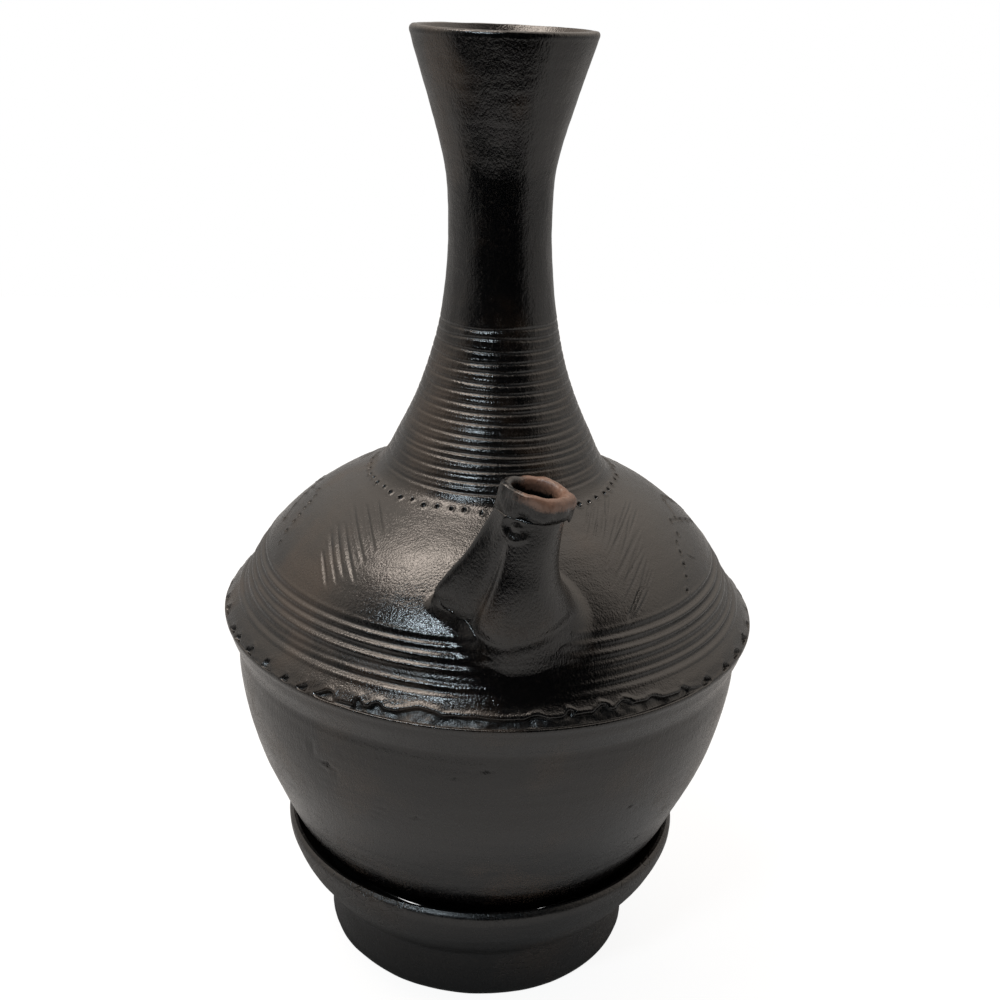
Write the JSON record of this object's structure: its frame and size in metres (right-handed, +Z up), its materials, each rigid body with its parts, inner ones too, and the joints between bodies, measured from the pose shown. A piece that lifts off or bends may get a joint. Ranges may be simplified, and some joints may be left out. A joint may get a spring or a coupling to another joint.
{
  "type": "jebena coffee pot on a ring stand",
  "caption": "Hand-built black clay coffee pot with a tall ringed neck, flared mouth, stub spout and strap handle, standing in a clay ring stand.",
  "frame": {"origin": "centre of the underside of the stand's foot ring, at the bottom of the whole object", "axes": "+Z up along the pot's axis, the spout looks to -Y and the handle to +Y, +X to the right seen from the spout's side"},
  "size_m": [0.1636, 0.1636, 0.285],
  "materials": {
    "burnished_clay": "smoke-blackened burnished earthenware",
    "stand_clay": "smoke-blackened smoothed earthenware",
    "worn_lip_clay": "worn brown earthenware at the spout's lip"
  },
  "bodies": {
    "stand": {"stand_foot": "stand_clay", "stand_cup": "stand_clay"},
    "pot": {"lower_bowl": "burnished_clay", "flange_band": "burnished_clay", "shoulder_dome": "burnished_clay", "neck_cone": "burnished_clay", "neck_tube": "burnished_clay", "mouth_flare": "burnished_clay", "spout_tube": "burnished_clay", "spout_collar": "worn_lip_clay", "handle_strap": "burnished_clay"}
  },
  "joints": [
    {"name": "pot_lift", "type": "slide", "parent": "stand", "child": "pot", "axis": [0, 0, 1], "range_m": [0, 0.06]}
  ]
}
